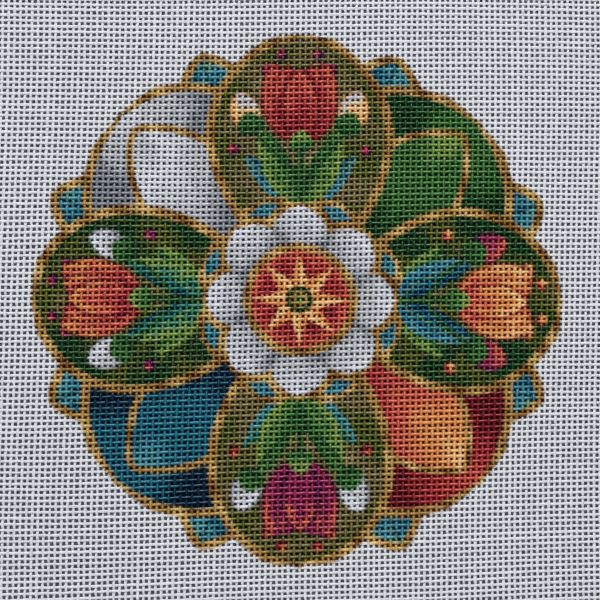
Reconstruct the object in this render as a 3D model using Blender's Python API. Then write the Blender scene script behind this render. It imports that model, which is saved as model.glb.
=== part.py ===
"""A square of needlepoint canvas, cut from the roll and lying flat.

The canvas is an open, even weave of starched cotton: 18 threads to the inch each way. Its holes
are far finer than 4 mm, so the solid is one uncut sheet as thick as a warp and a weft thread where
they cross. The cloth is a little off-grain: its two sets of threads lean towards each other, and
the cut, which follows the threads, leans and bows with them.

Metres, +Z up. The origin is on the underside, at the middle of the sheet.
"""

import math

import bmesh
import bpy
from mathutils import Vector

# Driving dimensions
INCH = 0.0254
THREADS_PER_INCH = 18
THREADS_PER_SIDE = 144
PITCH = INCH / THREADS_PER_INCH  # from one thread to the next, 1.41 mm
SIDE = THREADS_PER_SIDE * PITCH  # 203 mm, the cut length along a thread
THICKNESS = 0.001  # a warp and a weft thread, one over the other

# How far the cloth is off-grain
WARP_LEAN = math.tan(math.radians(1.0))  # upright threads lean to the right at the top
WEFT_RISE = math.tan(math.radians(1.1))  # level threads rise to the right
WARP_BOW = 0.00045  # the soft S that an upright thread makes, either side of straight
WEFT_BOW = 0.00035  # the same for a level thread

# The cut edge
STEPS_PER_SIDE = 36  # straight runs along each bowed side
EDGE_ROUND = 0.00022  # cut thread ends leave no sharp arris
EDGE_ROUND_STEPS = 2

CANVAS_WHITE = (0.80, 0.82, 0.86, 1.0)
CANVAS_ROUGHNESS = 0.85


def on_cloth(across, along):
    """Where a point of the square weave lies once the cloth is off-grain and bowed."""
    turn = 2 * math.pi / SIDE
    x = across + WARP_LEAN * along + WARP_BOW * math.sin(turn * along)
    y = along + WEFT_RISE * across + WEFT_BOW * math.sin(turn * across)
    return x, y


def cut_outline():
    """The cut edge, once round the sheet, anticlockwise from the near left corner."""
    half = SIDE / 2
    corners = [(-half, -half), (half, -half), (half, half), (-half, half)]
    outline = []
    for start, end in zip(corners, corners[1:] + corners[:1]):
        for step in range(STEPS_PER_SIDE):
            share = step / STEPS_PER_SIDE
            across = start[0] + share * (end[0] - start[0])
            along = start[1] + share * (end[1] - start[1])
            outline.append(on_cloth(across, along))
    return outline


def cotton():
    """Starched white cotton."""
    material = bpy.data.materials.new("starched_cotton")
    material.use_nodes = True
    shader = material.node_tree.nodes["Principled BSDF"]
    shader.inputs["Base Color"].default_value = CANVAS_WHITE
    shader.inputs["Roughness"].default_value = CANVAS_ROUGHNESS
    shader.inputs["Metallic"].default_value = 0.0
    return material


def canvas_panel():
    """The sheet: the cut outline, raised by its thickness, with its rims rounded."""
    mesh = bpy.data.meshes.new("canvas_panel")
    shape = bmesh.new()
    underside = shape.faces.new([shape.verts.new((x, y, 0.0)) for x, y in cut_outline()])
    raised = bmesh.ops.extrude_face_region(shape, geom=[underside])
    top_points = [item for item in raised["geom"] if isinstance(item, bmesh.types.BMVert)]
    bmesh.ops.translate(shape, verts=top_points, vec=Vector((0.0, 0.0, THICKNESS)))
    bmesh.ops.recalc_face_normals(shape, faces=shape.faces)
    rims = [edge for edge in shape.edges if edge.verts[0].co.z == edge.verts[1].co.z]
    bmesh.ops.bevel(
        shape,
        geom=rims,
        offset=EDGE_ROUND,
        segments=EDGE_ROUND_STEPS,
        profile=0.5,
        affect="EDGES",
    )
    shape.to_mesh(mesh)
    shape.free()
    mesh.materials.append(cotton())
    panel = bpy.data.objects.new("canvas_panel", mesh)
    bpy.context.scene.collection.objects.link(panel)
    return panel


def main():
    for old in list(bpy.data.objects):
        bpy.data.objects.remove(old)
    canvas_panel()


main()
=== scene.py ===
"""Looks for a square of needlepoint canvas: every thread of the weave, and the design printed on it.

The canvas is woven from its threads, over one and under one, as real geometry. The print is worked
out point by point from named shapes, and the threads carry it as a colour attribute.
"""

import math

import bpy
import numpy as np
from mathutils import Matrix, Vector

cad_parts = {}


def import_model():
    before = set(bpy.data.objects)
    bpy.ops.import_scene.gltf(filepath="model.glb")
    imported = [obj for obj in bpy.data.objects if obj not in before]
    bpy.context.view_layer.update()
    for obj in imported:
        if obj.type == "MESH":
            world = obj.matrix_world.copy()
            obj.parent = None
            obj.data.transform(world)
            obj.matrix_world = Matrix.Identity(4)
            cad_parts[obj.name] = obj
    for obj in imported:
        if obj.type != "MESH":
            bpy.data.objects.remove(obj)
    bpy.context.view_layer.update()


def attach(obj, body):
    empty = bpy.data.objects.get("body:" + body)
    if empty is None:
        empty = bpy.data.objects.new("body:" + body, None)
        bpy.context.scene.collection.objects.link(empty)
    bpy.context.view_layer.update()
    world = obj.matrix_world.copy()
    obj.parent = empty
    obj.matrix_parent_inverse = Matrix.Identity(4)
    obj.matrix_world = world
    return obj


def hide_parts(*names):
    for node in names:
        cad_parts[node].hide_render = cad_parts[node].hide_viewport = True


MM = 0.001
INCH = 0.0254

# The weave, as the part has it
WARPS = 141  # upright threads, a little further apart than the level ones
WEFTS = 144  # level threads
PITCH = INCH / 18  # of the level threads
SIDE = WEFTS * PITCH
WARP_LEAN = math.tan(math.radians(1.0))
WEFT_RISE = math.tan(math.radians(1.1))
WARP_BOW = 0.45 * MM
WEFT_BOW = 0.35 * MM

# One thread. The warp waves over and under the weft, which runs nearly straight
WIDTH = {"warp": 0.635 * MM, "weft": 0.55 * MM}
HEIGHT = {"warp": 0.53 * MM, "weft": 0.66 * MM}
LIFT = {"warp": 0.175 * MM, "weft": 0.08 * MM}  # how far it rises and dips from the middle of the sheet
SIDLE = {"warp": -0.045 * MM, "weft": 0.0}  # how far it moves aside on top, and the other way below
SLANT = {"warp": 0.0, "weft": -0.012 * MM}  # how far it moves aside going up, and the other way going down
FLATNESS = 0.4  # share of its slopes that its shading leaves out
SHEET_MIDDLE = 0.49 * MM  # above the surface it lies on
FACETS = 6  # sides of a thread, with a corner on top
OFFSETS = (-0.25, 0.25)  # of a thread's sections from a crossing, in pitches
END_LENGTH = 0.62  # of a cut end past the last crossing, in pitches
END_RISE = 0.25  # of a cut end, as a share of the lift
BANDS = 3  # pieces that the warp is parted into, and the weft

# How uneven the weave is
SHIFT = 0.028 * MM  # from thread to thread
WANDER = 0.023 * MM  # along a thread
NEIGHBOURS = (1, 1, 0.5)  # how much a section and the two before it count in what changes along a thread
DRIFT = 0.20 * MM  # of whole areas
DRIFT_WAVES = 5
DRIFT_LENGTHS = (35 * MM, 110 * MM)  # of the shortest and the longest of its waves
DRIFT_PEAK = 2.2  # about how high its waves usually reach together, each being 1 high
WIDTH_SPREAD = 0.05  # from thread to thread, as a share of the width
SWELL = 0.06  # along a thread, as a share of the width
END_SPREAD = 0.30  # of a cut end's length, either way, in pitches
TONE_SPREAD = 0.025  # from thread to thread, as a share of the brightness
TONE_SWELL = 0.030  # along a thread, as a share of the brightness
SEED = 20

# The corners round a thread's section, from the one underneath
CORNER_TURNS = 2 * math.pi * np.arange(FACETS) / FACETS
CORNER_UP = -np.cos(CORNER_TURNS)  # from -1, underneath, to 1, on top
CORNER_ASIDE = np.sin(CORNER_TURNS) / np.abs(np.sin(CORNER_TURNS)).max()  # from -1 to 1

# A thread's strip of the unwrapped square, and the discs of its end caps past the strip's ends
STRIP_GAP = 0.04  # left free on both sides of a thread's strip, as a share of its room
STRIP_END = 0.01  # left free at both ends of it, as a share of the square
CAP_MIDDLE = 0.004  # of a cap's disc, from the square's edge
CAP_HEIGHT = 0.003  # from the disc's middle, as a share of the square
CAP_WIDTH = 0.4  # from the disc's middle, as a share of the thread's room


# ---------------------------------------------------------------- the weave


def on_cloth(across, along):
    """Where a point of the square weave lies once the cloth is off-grain and bowed, as in the part."""
    turn = 2 * math.pi / SIDE
    x = across + WARP_LEAN * along + WARP_BOW * np.sin(turn * along)
    y = along + WEFT_RISE * across + WEFT_BOW * np.sin(turn * across)
    return x, y


def drift(across, along, seed):
    """A slow wander of whole areas of the cloth, in metres."""
    draws = np.random.default_rng(seed)
    total = 0 * across
    for _ in range(DRIFT_WAVES):
        heading = draws.uniform(0, 2 * math.pi)
        length = draws.uniform(*DRIFT_LENGTHS)
        start = draws.uniform(0, 2 * math.pi)
        run = across * math.cos(heading) + along * math.sin(heading)
        total = total + np.sin(2 * math.pi * run / length + start)
    return DRIFT / DRIFT_PEAK * total


def from_middle(index, count):
    """Where the thread or crossing of a number lies across the square, in metres."""
    return (index - (count - 1) / 2) * SIDE / count


def smooth_draws(draws, shape):
    """Random numbers of about unit size, each like its neighbours along the thread."""
    numbers = draws.normal(size=shape)
    total = sum(weight * np.roll(numbers, step, 1) for step, weight in enumerate(NEIGHBOURS))
    return total / np.linalg.norm(NEIGHBOURS)


class Threads:
    """One set of parallel threads, the warp or the weft, as arrays by thread and by section."""

    def __init__(self, name, count, crossings, under_first):
        draws = np.random.default_rng(SEED + under_first)
        self.name = name
        self.count = count
        thread = np.arange(count)[:, None]
        crossing = np.repeat(np.arange(crossings), len(OFFSETS))
        offset = np.tile(OFFSETS, crossings)
        above = 1 - 2 * ((thread + crossing + under_first) % 2)

        # The height is a cosine along the thread, which is at the lift where the sections are
        steepest = math.pi / math.cos(math.pi * OFFSETS[0]) * LIFT[name] * crossings / SIDE
        climb = -above * steepest * np.sin(math.pi * offset)
        self.climb = np.hstack([climb[:, :1], climb, climb[:, -1:]])
        rise = np.hstack([END_RISE * above[:, :1], above, END_RISE * above[:, -1:]])

        # Places along the thread are counted in crossings, and past the last ones are its cut ends
        ends = END_LENGTH + END_SPREAD * draws.uniform(-1, 1, (2, count, 1))
        place = np.tile(crossing + offset, (count, 1))
        self.place = np.hstack([-ends[0], place, crossings - 1 + ends[1]])
        shape = self.place.shape

        along = from_middle(self.place, crossings)
        across = from_middle(thread, count) + 0 * along
        nominal = (across, along) if name == "warp" else (along, across)
        across = across + SHIFT * draws.normal(size=(count, 1)) + WANDER * smooth_draws(draws, shape)
        across = across + SIDLE[name] * rise + SLANT[name] * np.sign(self.climb)
        x, y = (across, along) if name == "warp" else (along, across)
        x, y = on_cloth(x + drift(*nominal, seed=1), y + drift(*nominal, seed=2))
        self.path = np.stack([x, y, SHEET_MIDDLE + LIFT[name] * rise], -1)
        self.size = 1 + WIDTH_SPREAD * draws.normal(size=(count, 1)) + SWELL * smooth_draws(draws, shape)
        self.tone = 1 + TONE_SPREAD * draws.normal(size=(count, 1)) + TONE_SWELL * draws.normal(size=shape)

    def corners(self):
        """The corners round each section, and which way the thread faces there."""
        tangent = np.gradient(self.path, axis=1)
        tangent[..., 2] = self.climb * np.hypot(tangent[..., 0], tangent[..., 1])
        tangent /= np.linalg.norm(tangent, axis=-1, keepdims=True)
        side = np.cross(tangent, (0, 0, 1))
        side /= np.linalg.norm(side, axis=-1, keepdims=True)
        up = np.cross(side, tangent)
        sideways = CORNER_ASIDE[:, None] * side[:, :, None]
        upright = CORNER_UP[:, None] * up[:, :, None]

        _, ink = printed(self.path)
        fattened = 1 + INK_SPREAD * ink[:, :, None, None] * (CORNER_UP < 0)[:, None]
        lateral = WIDTH[self.name] / 2 * sideways * fattened
        vertical = HEIGHT[self.name] / 2 * upright
        corners = self.path[:, :, None] + self.size[:, :, None, None] * (lateral + vertical)

        levelled = (1 - FLATNESS) * up + FLATNESS * np.array((0, 0, 1))
        return corners, sideways + CORNER_UP[:, None] * levelled[:, :, None]


def thread_faces(count, sections):
    """Corner numbers of the quads between sections, and of the end caps, of count threads."""
    thread = np.arange(count)[:, None, None]
    section = np.arange(sections - 1)[:, None]
    facet = np.arange(FACETS)
    start = (thread * sections + section) * FACETS
    follow = (facet + 1) % FACETS
    quads = np.stack([start + facet, start + FACETS + facet, start + FACETS + follow, start + follow], -1)
    first = (np.arange(count) * sections * FACETS)[:, None] + facet
    last = first + (sections - 1) * FACETS
    return quads.reshape(-1, 4), first, last[:, ::-1]


def band_mesh(threads, first, last):
    """The mesh of the threads from first up to last, with its print and its maps."""
    corners, facing = (part[first:last] for part in threads.corners())
    count, sections = corners.shape[:2]
    quads, starts, ends = thread_faces(count, sections)
    mesh = bpy.data.meshes.new(f"{threads.name}_threads")
    mesh.from_pydata(corners.reshape(-1, 3), [], quads.tolist() + starts.tolist() + ends.tolist())
    mesh.shade_smooth()
    mesh.normals_split_custom_set_from_vertices(facing.reshape(-1, 3).tolist())
    colour = print_colour(corners, threads.tone[first:last])
    layer = mesh.color_attributes.new("print", "FLOAT_COLOR", "POINT")
    layer.data.foreach_set("color", colour.astype(np.float32).ravel())
    add_maps(mesh, threads.place[first:last])
    return mesh


def add_maps(mesh, place):
    """Two maps: each thread's own strip of the square, and how far round and along the yarn a point is."""
    count, sections = place.shape
    shape = (count, sections - 1, FACETS, 4)
    round_it = (np.array([0, 0, 1, 1]) + np.arange(FACETS)[:, None]) / FACETS
    round_it = np.broadcast_to(round_it, shape)
    step = (np.array([0, 1, 1, 0]) + np.arange(sections - 1)[:, None])[:, None]
    step = np.broadcast_to(step, shape)
    along = np.take_along_axis(place, step.reshape(count, -1), 1)
    thread = np.arange(count)[:, None]
    strip_u = (thread[:, :, None, None] + STRIP_GAP + (1 - 2 * STRIP_GAP) * round_it) / count
    strip_v = STRIP_END + (1 - 2 * STRIP_END) * step / (sections - 1)

    cap_u = (thread + 0.5 + CAP_WIDTH * np.cos(CORNER_TURNS)) / count
    cap_v = CAP_MIDDLE + CAP_HEIGHT * np.sin(CORNER_TURNS) + 0 * thread
    nothing = np.zeros(2 * cap_u.size)
    maps = {
        "OFBake": ((strip_u, cap_u, cap_u[:, ::-1]), (strip_v, cap_v, 1 - cap_v[:, ::-1])),
        "yarn": ((round_it, nothing), (along, nothing)),
    }
    for name, parts in maps.items():
        u, v = (np.concatenate([part.ravel() for part in column]) for column in parts)
        layer = mesh.uv_layers.new(name=name)
        layer.data.foreach_set("uv", np.stack([u, v], -1).astype(np.float32).ravel())


def printed(points):
    """The print's colour at points of the cloth, and how much ink is there."""
    x, y = points[..., 0] / MM, points[..., 1] / MM
    colour = np.broadcast_to(linear("bare"), points.shape).copy()
    ink = np.zeros(x.shape)
    near = np.hypot(x, y) < PRINT_REACH
    colour[near], ink[near] = paint(x[near], y[near])
    return colour, ink


def print_colour(corners, tone):
    """Each corner's colour, with the ink painted deeper on the sides as shade and a little lighter on top as
    a highlight, and as alpha how much ink is there.
    """
    colour, ink = printed(corners)
    taken = np.interp(CORNER_UP, CORNER_LEVELS, INK_TAKEN)
    # painted shade on a thread's sides and underneath, and a painted highlight on its top
    depth = np.interp(CORNER_UP, CORNER_LEVELS, PAINTED_SHADE_DEPTHS)
    bare = linear("bare")
    colour = colour ** (1 + ink * depth)[..., None]
    colour = bare + (colour - bare) * taken[:, None]
    return np.concatenate([colour * tone[:, :, None, None], (ink * taken)[..., None]], -1)


# ---------------------------------------------------------------- the print

# Below, lengths are in millimetres and headings in degrees clockwise from up. A tone is 0 at the first ink
# of a run and 1 at the last. It is a sum: where it starts at a shape's root, and how it changes along the
# shape, towards both its edges and from side to side.

PRINT_REACH = 69.0  # from the middle, past which the canvas is bare
SOFT = 0.35  # width of the blur at the edge of a shape
OUT = -9.0  # a depth well outside any shape
WOBBLE = 0.4  # how far the shapes wander from where they would be if drawn exactly
WOBBLE_SIZES = (34, 31)  # of the patches that wander together, to the side and up
BRUSHING = 0.12  # how much the tone changes with the strokes of the brush

# How the ink takes to a thread: underneath, low on its sides, high on them and on top. It lies on top, runs
# down the sides and comes through to the back in part.
# Its colour is also made deeper on the sides as painted shade, and a little lighter on top as a painted
# highlight
CORNER_LEVELS = (-1, -0.5, 0.5, 1)
INK_TAKEN = (0.45, 1, 1, 1)  # share of it that gets there
PAINTED_SHADE_DEPTHS = (0.25, 0.25, 0.55, -0.05)  # how much deeper its colour is there: painted shade underneath and on the sides, deepest high on them, and a painted highlight on top
INK_SPREAD = 0.45  # how much it fattens a thread low down, as a share of its width

# Inks as they look on the threads, in display colour
INKS = {
    "bare": (0.88, 0.89, 0.92),
    "white": (0.79, 0.80, 0.82),
    "grey": (0.56, 0.58, 0.61),
    "gold": (0.71, 0.58, 0.36),
    "gold_light": (0.84, 0.73, 0.50),
    "bronze": (0.54, 0.39, 0.17),
    "khaki": (0.52, 0.48, 0.34),
    "sand": (0.68, 0.64, 0.50),
    "olive": (0.40, 0.43, 0.20),
    "lime": (0.56, 0.66, 0.37),
    "leaf": (0.32, 0.51, 0.29),
    "forest": (0.15, 0.35, 0.20),
    "navy": (0.01, 0.24, 0.34),
    "teal": (0.16, 0.47, 0.55),
    "aqua": (0.38, 0.63, 0.68),
    "sea": (0.19, 0.52, 0.48),
    "crimson": (0.51, 0.14, 0.20),
    "red": (0.70, 0.27, 0.29),
    "coral": (0.82, 0.45, 0.38),
    "orange": (0.87, 0.62, 0.40),
    "peach": (0.94, 0.79, 0.58),
    "magenta": (0.64, 0.23, 0.42),
    "plum": (0.33, 0.15, 0.31),
}

# Runs of inks that more than one shape has
GREENS = ("forest", "leaf", "lime")
BLUES = ("navy", "teal", "aqua")
PINKS = ("plum", "magenta", "coral")
PALES = ("grey", "white", "bare")
STEM = ("forest", "leaf")


def linear(name):
    """An ink as linear light, by the usual rule for display colours."""
    return np.array([c / 12.92 if c <= 0.04045 else ((c + 0.055) / 1.055) ** 2.4 for c in INKS[name]])


def shade(tone, *names):
    """The colour at a tone, from 0 to 1, of an even run of inks that pass softly into one another."""
    stops = np.array([linear(name) for name in names])
    at = np.clip(tone, 0, 1) * (len(stops) - 1)
    low = np.minimum(at.astype(int), len(stops) - 2)
    part = at - low
    part = (part * part * (3 - 2 * part))[..., None]
    return stops[low] * (1 - part) + stops[low + 1] * part


def seen_from(x, y, origin, heading):
    """How far ahead each point is, and how far aside to the right, from origin and looking along heading."""
    c, s = math.cos(math.radians(heading)), math.sin(math.radians(heading))
    dx, dy = x - origin[0], y - origin[1]
    return dx * s + dy * c, dx * c - dy * s


def around(x, y, count, first=0.0):
    """How far out and aside each point is on the nearest of count even arms, and that arm's number.
    The first arm is at the heading first, and the rest follow clockwise."""
    step = 2 * math.pi / count
    angle = np.arctan2(x, y) - math.radians(first)
    arm = np.round(angle / step)
    angle = angle - arm * step
    r = np.hypot(x, y)
    return r * np.cos(angle), r * np.sin(angle), arm.astype(int) % count


def petal(ahead, aside, start, end, width, widest, tip, bend=0.0):
    """A petal that runs ahead from start to end, broadest at the share widest of its length. It is round
    where tip is 0.5, pointed where it is 1 and drawn out where it is more, and bends aside by bend. Gives
    how far inside its edge each point lies, how far along, from 0 to 1, and how far across, from -1 to 1."""
    nudge, steepest = 0.02, 4  # for the slope of its edge
    sharpness = 2.2  # how much faster the depth falls past its ends than beside it
    thinnest = 0.05  # half width that the way across is measured by, at the least
    length = end - start
    along = (ahead - start) / length
    aside = aside - bend * np.clip(along, 0, 1) ** 2
    root = tip * widest / (1 - widest)
    fullest = widest**root * (1 - widest) ** tip

    def half_width(share):
        share = np.clip(share, 1e-4, 1 - 1e-4)
        return width / 2 * share**root * (1 - share) ** tip / fullest

    slope = (half_width(along + nudge) - half_width(along - nudge)) / (2 * nudge * length)
    slope = np.clip(slope, -steepest, steepest)
    depth = (half_width(along) - np.abs(aside)) / np.sqrt(1 + slope**2)
    past = np.maximum(start - ahead, ahead - end)
    depth = np.where(past > 0, -np.hypot(sharpness * past, aside), depth)
    across = aside / np.maximum(half_width(along), thinnest)
    return depth, np.clip(along, 0, 1), np.clip(across, -1, 1)


def stem_shape(ahead, aside, start, end, half_width):
    """How far inside a stem that runs ahead from start to end each point lies."""
    return half_width - np.abs(aside) - np.maximum(0, ahead - end) - np.maximum(0, start - ahead)


def unevenness(x, y, size, seed):
    """Soft patches of about size millimetres, from -1 to 1, as a sum of waves."""
    waves = 6
    draws = np.random.default_rng(seed)
    total = np.zeros(x.shape)
    for _ in range(waves):
        heading = draws.uniform(0, 2 * math.pi)
        length = size * draws.uniform(0.7, 1.7)
        run = x * math.cos(heading) + y * math.sin(heading)
        total += np.sin(2 * math.pi / length * run + draws.uniform(0, 2 * math.pi))
    return np.clip(2 * total / waves, -1, 1)


class Print:
    """The colour at each point as the inks go on, one over another."""

    def __init__(self, x, y):
        self.colour = np.broadcast_to(linear("bare"), x.shape + (3,)).copy()
        self.ink = np.zeros(x.shape)
        self.gold = 0.5 + 0.45 * unevenness(x, y, size=7, seed=11)  # the tone of gold lines
        self.wash = unevenness(x, y, size=15, seed=12)
        self.stroke = unevenness(x, y, size=4.5, seed=13)

    def lay(self, depth, colour, within=None, strength=1.0):
        """One colour, or one for each point, over a shape and where asked only within another shape."""
        cover = np.clip(depth / SOFT + 0.5, 0, 1) * strength
        if within is not None:
            cover = cover * np.clip(within / SOFT + 0.5, 0, 1)
        self.ink = np.maximum(self.ink, cover)
        self.colour += (colour - self.colour) * cover[..., None]

    def wash_on(self, depth, tone, inks, within=None, strength=1.0, brushing=BRUSHING):
        """A run of inks over a shape, with a tone for each point."""
        self.lay(depth, shade(tone + brushing * self.stroke, *inks), within, strength)

    def gild(self, depth, width=2.3):
        """A gold line along the edge of a shape."""
        self.lay(width / 2 - np.abs(depth), shade(self.gold, "bronze", "gold", "gold_light"))

    def trace(self, depth, ink, within, width, strength):
        """A thin dark line along the edge of a shape."""
        self.lay(width / 2 - np.abs(depth), linear(ink), within, strength)


def rim_leaves(design, x, y):
    """Small pointed leaves that show at the rim between the petals."""
    out, aside, _ = around(x, y, 8, first=22.5)
    depth, along, across = petal(out, aside, start=30, end=67, width=20, widest=0.60, tip=0.95)
    tone = 1.7 * along - 0.80 - 0.25 * np.abs(across) + 0.25 * across
    design.wash_on(depth, tone, BLUES + ("lime",))
    design.trace(aside, "navy", depth, width=0.7, strength=0.7)
    design.gild(depth)


# Inks of the four broad petals, and of the smaller petal inside each
BROAD_PETALS = (
    ("forest", "forest", "leaf", "leaf"),
    ("crimson", "crimson", "red", "coral"),
    ("navy", "navy", "teal", "teal"),
    ("grey", "grey", "white", "bare"),
)
CORES = (
    ("lime", "leaf", "leaf", "forest"),
    ("peach", "orange", "coral", "red"),
    ("aqua", "teal", "teal", "navy"),
    ("white", "bare", "white", "grey"),
)


def broad_petals(design, x, y):
    """Four broad petals on the diagonals, each in its own colours, dark at the root and pale at the rim."""
    out, aside, arm = around(x, y, 4, first=45)
    depth, along, across = petal(out, aside, start=4, end=65, width=51, widest=0.62, tip=0.60)
    tone = 1.9 * along - 0.92 - 0.55 * across**2 + 0.12 * across + 0.05 * design.wash
    core, along, across = petal(out, aside, start=12, end=60, width=25, widest=0.56, tip=0.92)
    core_tone = 1.38 - 1.5 * along + 0.30 * np.abs(across) + 0.15 * across + 0.05 * design.wash
    for which, (inks, core_inks) in enumerate(zip(BROAD_PETALS, CORES)):
        here = np.where(arm == which, depth, OUT)
        design.wash_on(here, tone, inks, brushing=0.05)
        design.wash_on(core, core_tone, core_inks, here, brushing=0.05)
    design.gild(core, 1.8)
    design.gild(depth)


# A tulip's side petals, from the back. Lengths, widths and bends are shares of its height
TULIP_SIDES = (
    dict(
        heading=27, length=1.04, width=0.50, widest=0.52, tip=0.72, bend=0.14,
        tone=0.05, line_width=0.7, line_strength=0.65,
    ),
    dict(
        heading=13, length=0.98, width=0.40, widest=0.55, tip=0.75, bend=0.05,
        tone=-0.08, line_width=0.6, line_strength=0.55,
    ),
)


def tulip(design, x, y, base, top, inks, within):
    """A flower seen from the side, with two pairs of side petals behind the middle one."""
    height = top - base
    for look in TULIP_SIDES:
        end, width = height * look["length"], height * look["width"]
        shape = dict(start=0, end=end, width=width, widest=look["widest"], tip=look["tip"])
        for side in (-1, 1):
            ahead, aside = seen_from(x, y, (0, base), side * look["heading"])
            depth, along, across = petal(ahead, aside, bend=-side * height * look["bend"], **shape)
            design.wash_on(depth, look["tone"] + 0.85 * along + 0.28 * side * across, inks, within)
            design.trace(depth, inks[0], within, look["line_width"], look["line_strength"])
    end, width = top - 0.08 * height, 0.44 * height
    depth, along, across = petal(y, x, start=base, end=end, width=width, widest=0.52, tip=0.75)
    design.wash_on(depth, 0.95 * along + 0.30 * np.abs(across), inks, within)
    design.trace(depth, inks[0], within, width=0.8, strength=0.8)


def leaf_on(design, x, y, origin, heading, size, inks, within, strength=1.0):
    """A bent leaf that grows from origin, darker on one side. Its size is length, width and bend."""
    length, width, bend = size
    shape = dict(start=0, end=length, width=width, widest=0.45, tip=0.80, bend=bend)
    ahead, aside = seen_from(x, y, origin, heading)
    depth, along, across = petal(ahead, aside, **shape)
    tone = 0.45 + 0.25 * along - 0.40 * math.copysign(1, bend) * across
    design.wash_on(depth, tone, inks, within, strength)
    rib = 0.38 - np.abs(aside - bend * along**2)
    design.lay(rib, linear("lime"), np.minimum(within, depth - 0.6), 0.45 * strength)


def berry(design, x, y, place, inks, within):
    """A small round berry, brightest a little off its middle."""
    radius = 1.45
    right, up = x - place[0], y - place[1]
    from_light = np.hypot(right + 0.3 * radius, up - 0.4 * radius)
    design.wash_on(radius - np.hypot(right, up), 1.1 - from_light / radius, inks, within)


# Inks of the four panels, from the top clockwise
PANELS = (
    dict(
        ground=("olive", "khaki", "sand"),
        flower=("crimson", "red", "coral"),
        bud=("orange", "peach", "white"),
        leaf=GREENS,
        low_leaf=BLUES,
        berry=PINKS,
    ),
    dict(
        ground=("forest", "olive", "khaki"),
        flower=("red", "coral", "orange", "peach"),
        bud=PINKS,
        leaf=BLUES,
        low_leaf=GREENS,
        berry=("red", "orange", "peach"),
    ),
    dict(
        ground=("olive", "khaki", "sand"),
        flower=("plum", "magenta", "magenta", "coral"),
        bud=PALES,
        leaf=GREENS,
        low_leaf=("navy", "sea", "aqua"),
        berry=("crimson", "red", "orange"),
    ),
    dict(
        ground=("forest", "olive", "khaki"),
        flower=("crimson", "red", "coral", "orange"),
        bud=PALES,
        leaf=("navy", "sea", "lime"),
        low_leaf=GREENS,
        berry=PINKS,
    ),
)


def flower_panels(design, x, y):
    """Four panels on the upright and the level, each with a spray of one flower."""
    out, aside, arm = around(x, y, 4)
    panel, _, across = petal(out, aside, start=4, end=67, width=45, widest=0.60, tip=0.60)
    for which, look in enumerate(PANELS):
        within = np.where(arm == which, panel, OUT)
        design.wash_on(within, 0.50 + 0.32 * design.wash - 0.45 * across**2, look["ground"])
        spray(design, aside, out, look, within)
    design.gild(panel)


def spray(design, x, y, look, within):
    """A tulip on its stem between leaves, buds and berries. Here y runs out from the medallion's middle."""
    for side in (-1, 1):
        # Pale leaves in the ground, and then the spray's own
        for height, heading, length in ((34, 78, 15), (40, 56, 17), (47, 30, 15)):
            size = (length, 5.0, side * 2.5)
            leaf_on(design, x, y, (0, height), side * heading, size, ("olive", "khaki", "lime"), within, 0.5)
        leaf_on(design, x, y, (0, 25), side * 66, (17.5, 6.0, -side * 5.0), look["low_leaf"], within)
        leaf_on(design, x, y, (0, 24), side * 38, (22, 7.8, -side * 4.5), look["leaf"], within)
    design.wash_on(stem_shape(y, x, start=22, end=44, half_width=0.8), 0.5, STEM, within)
    for side in (-1, 1):
        bud(design, x, y, side, look["bud"], within)
        for place in ((side * 16.6, 38.0), (side * 8.3, 58.4), (side * 4.6, 62.0)):
            berry(design, x, y, place, look["berry"], within)
    tulip(design, x, y, base=39.5, top=60.0, inks=look["flower"], within=within)
    depth, along, _ = petal(y, x, start=37.5, end=43.5, width=6.0, widest=0.4, tip=0.7)
    design.wash_on(depth, 0.2 + along, GREENS, within)


def bud(design, x, y, side, inks, within):
    """A bud on its own thin stalk, which sways to the side."""
    ahead, aside = seen_from(x, y, (0, 32.0), side * 44)
    sway = side * 1.2 * np.sin(np.clip(ahead / 17, 0, 1) * math.pi)
    stalk = stem_shape(ahead, aside - sway, start=0, end=16, half_width=0.55)
    design.wash_on(stalk, 0.5, STEM, within)
    ahead, aside = seen_from(x, y, (side * 11.6, 43.0), side * 22)
    depth, along, across = petal(ahead, aside, start=0, end=10.5, width=7.2, widest=0.5, tip=0.7)
    design.wash_on(depth, 0.95 * along - 0.3 * side * across + 0.1, inks, within)
    design.trace(depth, inks[0], within, width=0.6, strength=0.6)
    depth, along, _ = petal(ahead, aside, start=-1.0, end=5.0, width=7.0, widest=0.42, tip=0.7)
    design.wash_on(depth, 0.2 + along, STEM, within)


def rosette(design, x, y):
    """Two rings of petals round a disc with a star of eight points."""
    r = np.hypot(x, y)
    out, aside, _ = around(x, y, 8, first=22.5)
    depth, along, across = petal(out, aside, start=8, end=26.5, width=16.5, widest=0.55, tip=0.62)
    design.wash_on(depth, 0.95 * along - 0.2 * across**2 + 0.25 * across, BLUES)
    design.gild(depth, 2.0)
    out, aside, _ = around(x, y, 8)
    depth, along, across = petal(out, aside, start=5, end=24.5, width=16, widest=0.60, tip=0.62)
    design.wash_on(depth, 1.6 * along - 0.45 - 0.35 * across**2 + 0.15 * across, PALES)
    design.gild(depth, 2.0)

    disc = 13.2 - r
    design.wash_on(disc, r / 12.6, ("crimson", "crimson", "red", "coral"))
    design.gild(disc, 2.1)
    design.wash_on(star(out, aside, tip=11.9, notch=5.2), 0.5 + 0.42 * np.sign(aside), ("orange", "peach"))
    design.wash_on(3.4 - r, r / 3.4, ("lime", "olive", "forest"))
    design.gild(1.6 - r, 1.1)


def star(out, aside, tip, notch):
    """How far inside an eight-pointed star each place is. Tip and notch are how far out they reach."""
    turn = math.pi / 8  # from a tip to the next notch
    notch_out, notch_aside = notch * math.cos(turn), notch * math.sin(turn)
    inside = (tip - out) * notch_aside - np.abs(aside) * (tip - notch_out)
    return inside / math.hypot(tip - notch_out, notch_aside)


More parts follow.
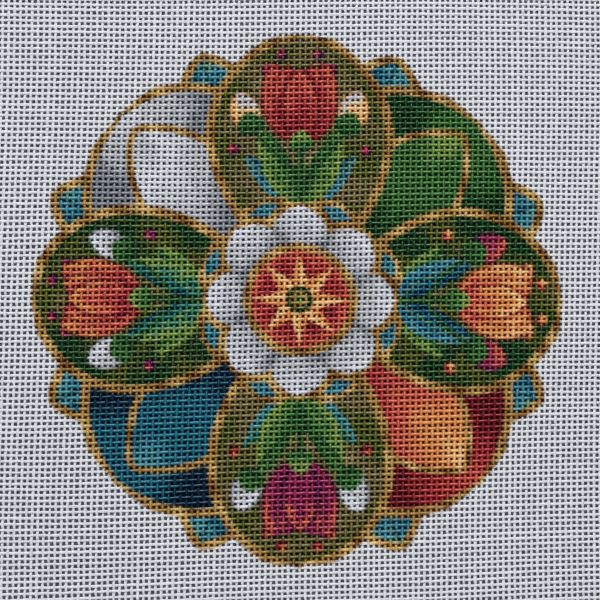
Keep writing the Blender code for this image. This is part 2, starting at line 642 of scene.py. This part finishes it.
def paint(x, y):
    """The medallion at points x, y, from its middle. Returns linear colour and ink."""
    right = WOBBLE * unevenness(x, y, WOBBLE_SIZES[0], seed=1)
    up = WOBBLE * unevenness(x, y, WOBBLE_SIZES[1], seed=2)
    x, y = x + right, y + up
    design = Print(x, y)
    rim_leaves(design, x, y)
    broad_petals(design, x, y)
    flower_panels(design, x, y)
    rosette(design, x, y)
    return design.colour, design.ink


# ---------------------------------------------------------------- materials

# Sized bare cotton is a little shinier than raw cotton, and the ink is shinier than both
BARE_ROUGHNESS = 0.62
INK_ROUGHNESS = 0.42
YARN_SPECULAR = 0.65
YARN_SHEEN = 0.06
YARN_SHEEN_ROUGHNESS = 0.45

# Fibres, as a noise in the yarn's tone and bump
FIBRES = {"Scale": 5200.0, "Detail": 2.0, "Roughness": 0.6}  # so they are about 0.2 mm apart
FIBRE_TONES = {"From Min": 0.25, "From Max": 0.75, "To Min": 0.86, "To Max": 1.08}

# Plies twisted together, as waves in the bump
PLIES = 2
PLY_SPACING = 0.62  # along a thread from one ply to the next, in pitches
PLY_HEIGHT = 0.35  # as a share of the fibres' height
BUMP = {"Strength": 0.5, "Distance": 0.05 * MM}

FLOOR_BLUE = 0.015  # how much bluer the floor is than grey
FLOOR_ROUGHNESS = 0.9


def set_inputs(node, values):
    for name, value in values.items():
        node.inputs[name].default_value = value


def new_node(tree, kind, inputs=None, **settings):
    node = tree.nodes.new(kind)
    for name, value in settings.items():
        setattr(node, name, value)
    set_inputs(node, inputs or {})
    return node


def new_material(name, inputs):
    """A material of one Principled BSDF with the inputs given, as itself, its node tree and that shader."""
    material = bpy.data.materials.new(name)
    material.use_nodes = True
    shader = material.node_tree.nodes["Principled BSDF"]
    set_inputs(shader, inputs)
    return material, material.node_tree, shader


def cotton_yarn():
    look = {
        "Specular IOR Level": YARN_SPECULAR,
        "Sheen Weight": YARN_SHEEN,
        "Sheen Roughness": YARN_SHEEN_ROUGHNESS,
    }
    material, tree, shader = new_material("printed_cotton_yarn", look)
    links = tree.links

    # The print's colour, with the fibres in its tone
    ink = new_node(tree, "ShaderNodeAttribute", attribute_name="print")
    place = new_node(tree, "ShaderNodeTexCoord")
    fibres = new_node(tree, "ShaderNodeTexNoise", FIBRES)
    tone = new_node(tree, "ShaderNodeMapRange", FIBRE_TONES)
    tinted = new_node(tree, "ShaderNodeVectorMath", operation="SCALE")
    links.new(place.outputs["Object"], fibres.inputs["Vector"])
    links.new(fibres.outputs["Fac"], tone.inputs["Value"])
    links.new(ink.outputs["Color"], tinted.inputs[0])
    links.new(tone.outputs["Result"], tinted.inputs["Scale"])
    links.new(tinted.outputs["Vector"], shader.inputs["Base Color"])

    gloss = new_node(tree, "ShaderNodeMapRange", {"To Min": BARE_ROUGHNESS, "To Max": INK_ROUGHNESS})
    links.new(ink.outputs["Alpha"], gloss.inputs["Value"])
    links.new(gloss.outputs["Result"], shader.inputs["Roughness"])

    # The plies wind round the thread and along it
    yarn = new_node(tree, "ShaderNodeUVMap", uv_map="yarn")
    split = new_node(tree, "ShaderNodeSeparateXYZ")
    plies = new_node(tree, "ShaderNodeMath", {1: PLIES * 2 * math.pi}, operation="MULTIPLY")
    twist = new_node(tree, "ShaderNodeMath", {1: 2 * math.pi / PLY_SPACING}, operation="MULTIPLY_ADD")
    wave = new_node(tree, "ShaderNodeMath", operation="SINE")
    height = new_node(tree, "ShaderNodeMath", {1: PLY_HEIGHT}, operation="MULTIPLY_ADD")
    bump = new_node(tree, "ShaderNodeBump", BUMP)
    links.new(yarn.outputs["UV"], split.inputs["Vector"])
    links.new(split.outputs["X"], plies.inputs[0])
    links.new(split.outputs["Y"], twist.inputs[0])
    links.new(plies.outputs["Value"], twist.inputs[2])
    links.new(twist.outputs["Value"], wave.inputs[0])
    links.new(wave.outputs["Value"], height.inputs[0])
    links.new(fibres.outputs["Fac"], height.inputs[2])
    links.new(height.outputs["Value"], bump.inputs["Height"])
    links.new(bump.outputs["Normal"], shader.inputs["Normal"])
    return material


def floor_paint(name, grey):
    colour = (grey, grey, grey + FLOOR_BLUE, 1)
    look = {"Base Color": colour, "Roughness": FLOOR_ROUGHNESS, "Specular IOR Level": 0.0}
    material, _, _ = new_material(name, look)
    return material


# ---------------------------------------------------------------- the studio

FLOOR_REACH = 1.3  # from the middle to each of its sides
FLOOR_GREY = 0.50
PAINTED_SHADE_GREY = 0.36  # of the floor under the cloth, painted darker as shade, where it shows through the holes alone
PAINTED_SHADE_SHARE = 0.97  # of the cloth's side that this painted shade takes up
BACKDROP = (0.66, 0.66, 0.675, 1)  # colour of the world past the floor

CAMERA_DISTANCE = 0.52
VIEW_WIDTH = 0.1513  # of the cloth that the camera takes in
CAMERA_LEFT = math.radians(6.2)
CAMERA_NEAR = math.radians(4.2)

# Lights: degrees clockwise from the far side, degrees up, metres away and watts. Their width and height
# are shares of their distance
WINDOW = (0, 27, 1.6, 30)
FILLS = {"fill_left": (-95, 18, 2.6, 24), "fill_right": (95, 18, 2.6, 15), "fill_near": (180, 20, 2.6, 46)}
WINDOW_COLOUR = (1.0, 0.99, 0.97)
FILL_COLOUR = (0.985, 0.99, 1.0)
LIGHT_WIDTH = 0.42
LIGHT_HEIGHT = 0.23

# The camera's tone curve: dark holes stay dark, and bright threads are held below white
TONE_CURVE = (
    (0.01, 0.004),
    (0.03, 0.019),
    (0.065, 0.055),
    (0.13, 0.136),
    (0.225, 0.239),
    (0.33, 0.353),
    (0.42, 0.456),
    (0.52, 0.572),
    (0.62, 0.673),
    (0.77, 0.787),
    (1.0, 0.94),
)
ALL_COLOURS = 3  # number of the curve that all three colours share


def soft_light(name, heading, height, distance, power, colour, glossy=True):
    """A soft light that faces the cloth. Heading, in degrees, is clockwise from the far side."""
    turn, lift = math.radians(heading), math.radians(height)
    way = Vector((math.sin(turn) * math.cos(lift), math.cos(turn) * math.cos(lift), math.sin(lift)))
    data = bpy.data.lights.new(name, "AREA")
    data.shape = "RECTANGLE"
    data.size = LIGHT_WIDTH * distance
    data.size_y = LIGHT_HEIGHT * distance
    data.energy = power
    data.color = colour
    light = bpy.data.objects.new(name, data)
    light.location = way * distance
    light.rotation_euler = (-way).to_track_quat("-Z", "Y").to_euler()
    light.visible_glossy = glossy
    light.visible_camera = False
    bpy.context.scene.collection.objects.link(light)


def studio_floor():
    """A pale floor, which is a darker grey under the cloth as painted shade seen through the holes."""
    turns = ((-1, -1), (1, -1), (1, 1), (-1, 1))
    corners = [(x * r, y * r, 0) for r in (PAINTED_SHADE_SHARE * SIDE / 2, FLOOR_REACH) for x, y in turns]
    ring = [(n, n + 4, (n + 1) % 4 + 4, (n + 1) % 4) for n in range(4)]
    mesh = bpy.data.meshes.new("floor")
    mesh.from_pydata(corners, [], [(0, 1, 2, 3)] + ring)
    # the darker grey under the cloth is painted shade for the holes
    mesh.materials.append(floor_paint("floor_under_the_cloth", PAINTED_SHADE_GREY))
    mesh.materials.append(floor_paint("pale_floor", FLOOR_GREY))
    mesh.polygons.foreach_set("material_index", (0, 1, 1, 1, 1))
    floor = bpy.data.objects.new("floor", mesh)
    bpy.context.scene.collection.objects.link(floor)


def studio_light():
    """A window at the far side, fills all round, and a backdrop that lights nothing."""
    soft_light("window", *WINDOW, WINDOW_COLOUR)
    for name, light in FILLS.items():
        soft_light(name, *light, FILL_COLOUR, glossy=False)
    world = bpy.data.worlds.new("studio")
    world.use_nodes = True
    world.node_tree.nodes["Background"].inputs["Color"].default_value = BACKDROP
    seen = world.cycles_visibility
    seen.diffuse = seen.glossy = seen.transmission = seen.scatter = False
    bpy.context.scene.world = world


def camera():
    """It looks at the middle of the cloth, from a little to the left and near side of straight above."""
    data = bpy.data.cameras.new("camera")
    data.sensor_width = 36
    data.lens = data.sensor_width * CAMERA_DISTANCE / VIEW_WIDTH
    back = Vector((-math.tan(CAMERA_LEFT), -math.tan(CAMERA_NEAR), 1)).normalized()
    right = Vector((0, 1, 0)).cross(back).normalized()
    eye = bpy.data.objects.new("camera", data)
    eye.matrix_world = Matrix((right, back.cross(right), back)).transposed().to_4x4()
    eye.location = back * CAMERA_DISTANCE
    bpy.context.scene.collection.objects.link(eye)
    bpy.context.scene.camera = eye


def picture_tones():
    view = bpy.context.scene.view_settings
    view.view_transform = "Standard"
    view.use_curve_mapping = True
    curve = view.curve_mapping.curves[ALL_COLOURS]
    for before, after in TONE_CURVE[:-1]:
        curve.points.new(before, after)
    curve.points[-1].location = TONE_CURVE[-1]
    view.curve_mapping.update()


def main():
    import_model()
    yarn = cotton_yarn()
    warp = Threads("warp", WARPS, WEFTS, under_first=1)
    weft = Threads("weft", WEFTS, WARPS, under_first=0)
    for threads in (warp, weft):
        size = threads.count // BANDS
        for band in range(BANDS):
            mesh = band_mesh(threads, band * size, (band + 1) * size)
            mesh.materials.append(yarn)
            piece = bpy.data.objects.new(f"{threads.name}_threads_{band + 1}", mesh)
            bpy.context.scene.collection.objects.link(piece)
            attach(piece, "root")
            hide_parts("canvas_panel")
    studio_floor()
    studio_light()
    camera()
    picture_tones()


main()
